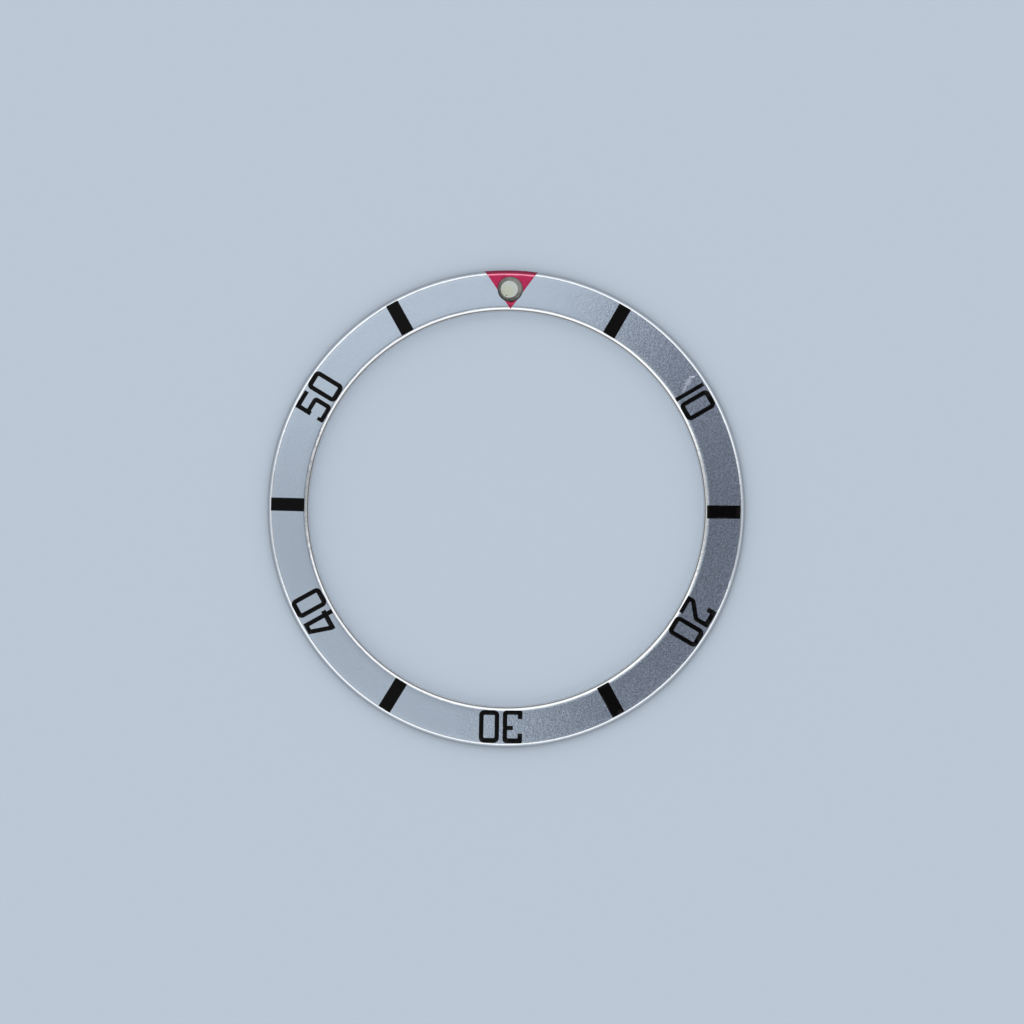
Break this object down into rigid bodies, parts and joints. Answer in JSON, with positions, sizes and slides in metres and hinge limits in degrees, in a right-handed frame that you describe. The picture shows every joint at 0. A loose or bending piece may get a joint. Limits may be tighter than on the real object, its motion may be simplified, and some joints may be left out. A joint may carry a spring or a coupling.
{
  "type": "watch bezel insert",
  "caption": "Thin sloped aluminium ring for a dive watch's turning bezel, with printed bars and numerals, a crimson triangle and a luminous pearl.",
  "frame": {"origin": "centre of the ring in the plane of its back seat", "axes": "+Z out of the printed face along the ring's axis, +Y towards the pearl at twelve, +X towards fifteen"},
  "size_m": [0.038, 0.038, 0.0011],
  "materials": {
    "satin_aluminium": "satin face with polished edges",
    "black_ink": "satin black print",
    "crimson_lacquer": "gloss lacquer",
    "pearl_metal": "dark satin",
    "lume": "matte, slightly grainy",
    "pearl_glass": "clear dome"
  },
  "bodies": {
    "root": {"insert_ring": "satin_aluminium", "pearl_cup": "pearl_metal", "pearl_lume": "lume", "pearl_lens": "pearl_glass", "triangle_lacquer": "crimson_lacquer", "bar_05": "black_ink", "bar_15": "black_ink", "bar_25": "black_ink", "bar_35": "black_ink", "bar_45": "black_ink", "bar_55": "black_ink", "numeral_10_tens": "black_ink", "numeral_10_units": "black_ink", "numeral_20_tens": "black_ink", "numeral_20_units": "black_ink", "numeral_30_tens": "black_ink", "numeral_30_units": "black_ink", "numeral_40_tens": "black_ink", "numeral_40_units": "black_ink", "numeral_50_tens": "black_ink", "numeral_50_units": "black_ink"}
  },
  "joints": []
}
